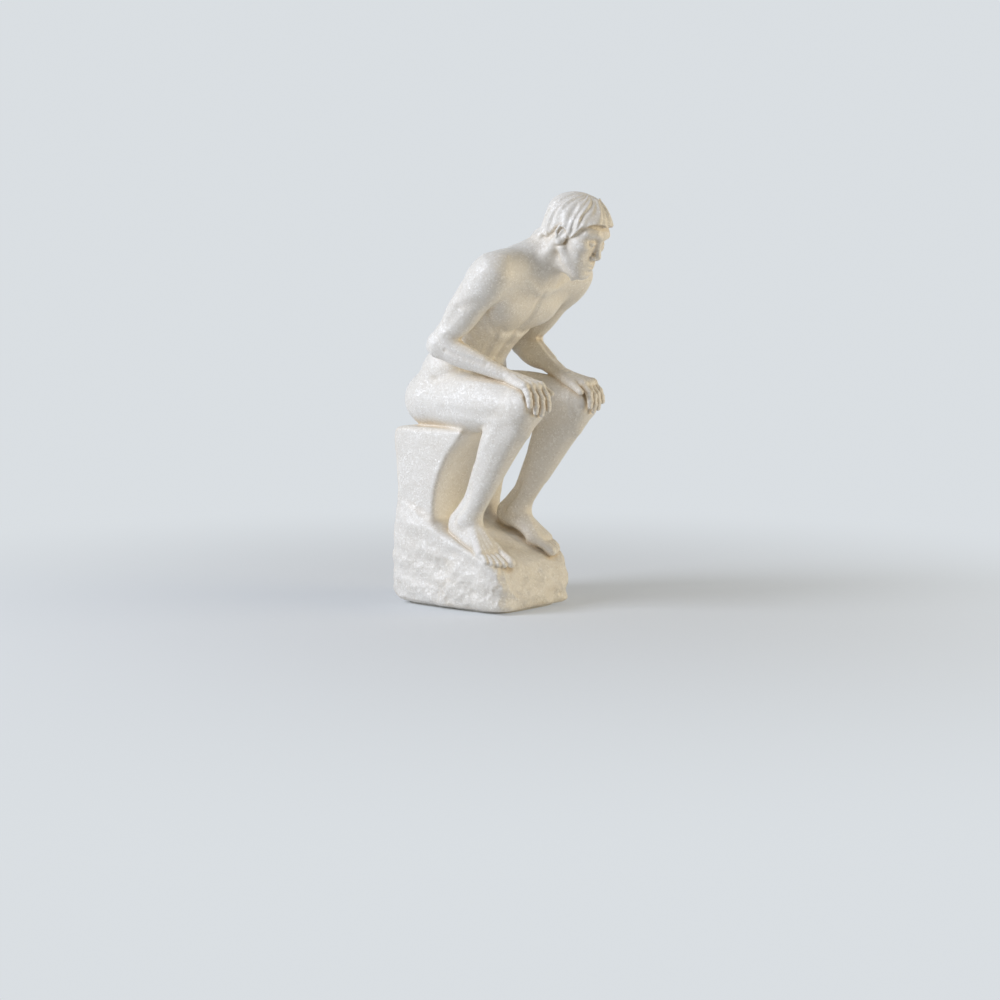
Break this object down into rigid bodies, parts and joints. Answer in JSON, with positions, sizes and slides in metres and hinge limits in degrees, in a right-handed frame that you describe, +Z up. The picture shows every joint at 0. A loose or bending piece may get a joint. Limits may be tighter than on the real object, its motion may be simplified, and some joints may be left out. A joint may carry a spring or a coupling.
{
  "type": "seated figure ornament",
  "caption": "Table ornament of a calm figure seated on a rough boulder, leaning forward with hands over the knees, cast in pale sparkling stone.",
  "frame": {"origin": "middle of the base's footprint, on the underside of the felt pad", "axes": "+Z up, the figure faces -Y, its right side is at -X"},
  "size_m": [0.096, 0.1351, 0.2403],
  "materials": {
    "cast_stone": "pale ivory, fine sparkling crystalline grain, satin",
    "pin_steel": "drawn steel rod",
    "plaster": "matt, poured",
    "plate_board": "dense pressed board",
    "plug_rubber": "matt black",
    "felt": "thick cream felt"
  },
  "bodies": {
    "root": {"rock_seat": "cast_stone", "torso": "cast_stone", "head": "cast_stone", "right_arm": "cast_stone", "left_arm": "cast_stone", "right_leg": "cast_stone", "left_leg": "cast_stone", "neck_dowel": "pin_steel", "shoulder_dowels": "pin_steel", "hip_dowels": "pin_steel", "seat_studs": "pin_steel", "foot_pins": "pin_steel", "ballast_block": "plaster", "base_plate": "plate_board", "filler_plug": "plug_rubber", "felt_pad": "felt"}
  },
  "joints": []
}
